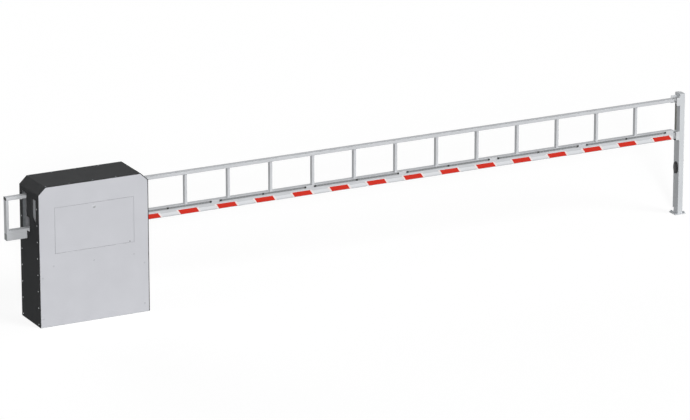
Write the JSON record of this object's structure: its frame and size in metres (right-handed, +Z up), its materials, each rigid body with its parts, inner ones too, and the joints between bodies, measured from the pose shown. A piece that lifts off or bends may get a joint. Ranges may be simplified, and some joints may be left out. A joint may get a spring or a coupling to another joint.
{
  "type": "boom barrier",
  "caption": "Sliding boom barrier: a drive cabinet, a railed boom frame that runs lengthwise through it, and a catch post for its free end.",
  "frame": {"origin": "On the ground, in the middle of the cabinet's four anchor bolts.", "axes": "+X along the boom from the cabinet to the catch post, -Y the front of the cabinet with the access flap, +Z up."},
  "size_m": [7.3865, 0.433, 1.365],
  "materials": {
    "anthracite_sheet": "fine-textured powder coat, anthracite",
    "light_grey_sheet": "smooth powder coat, light grey",
    "zinc_steel": "zinc-plated steel",
    "roller_plastic": "turned nylon",
    "bright_steel": "turned steel",
    "drive_rubber": "black rubber",
    "drive_paint": "machine enamel, blue grey",
    "control_case": "powder coat, pale grey",
    "boom_aluminium": "anodised aluminium tube",
    "cap_plastic": "moulded caps, grey",
    "light_cover": "smoked light cover",
    "black_plastic": "moulded plastic, black",
    "side_strip_plastic": "extruded plastic, dark grey",
    "reflector_white": "reflective sheeting, white",
    "reflector_red": "reflective sheeting, red",
    "post_coating": "powder coat, pale grey",
    "catch_casting": "milled aluminium"
  },
  "bodies": {
    "housing": {"base_frame": "zinc_steel", "corner_uprights": "zinc_steel", "level_rings": "zinc_steel", "lower_bridges": "zinc_steel", "upper_bridges": "zinc_steel", "lower_rollers": "roller_plastic", "upper_rollers": "roller_plastic", "guide_rollers": "roller_plastic", "roller_axles": "bright_steel", "drive_plate": "zinc_steel", "drive_wheel": "drive_rubber", "gearbox": "drive_paint", "shaft_bearing": "zinc_steel", "drive_motor": "drive_paint", "control_unit": "control_case", "control_bracket": "zinc_steel", "left_side_panel": "anthracite_sheet", "right_side_panel": "anthracite_sheet", "top_cover": "anthracite_sheet", "front_panel": "light_grey_sheet", "back_panel": "light_grey_sheet", "cabinet_hinges": "bright_steel", "post_tube": "post_coating", "post_base_plate": "post_coating", "post_cap": "post_coating", "post_back_strip": "post_coating", "post_side_strip": "side_strip_plastic", "upper_catch": "catch_casting", "lower_catch": "catch_casting", "catch_pads": "drive_rubber", "oval_cover": "black_plastic"},
    "boom": {"top_rail": "boom_aluminium", "lower_rail": "boom_aluminium", "lower_beam": "boom_aluminium", "boom_uprights": "boom_aluminium", "tail_upright": "boom_aluminium", "rail_end_caps": "black_plastic", "beam_end_caps": "cap_plastic", "light_strips": "light_cover", "strip_clips": "black_plastic", "reflector_backings": "reflector_white", "reflector_faces": "reflector_red"},
    "flap": {"flap_panel": "light_grey_sheet", "flap_lock": "bright_steel", "flap_hinge_leaves": "bright_steel"}
  },
  "joints": [
    {"name": "boom_slide", "type": "slide", "parent": "housing", "child": "boom", "axis": [1, 0, 0], "range_m": [-5.84, 0]},
    {"name": "flap_hinge", "type": "hinge", "parent": "housing", "child": "flap", "pos_m": [0.007, -0.2135, 0.7085], "axis": [1, 0, 0], "range_deg": [0, 90]}
  ]
}
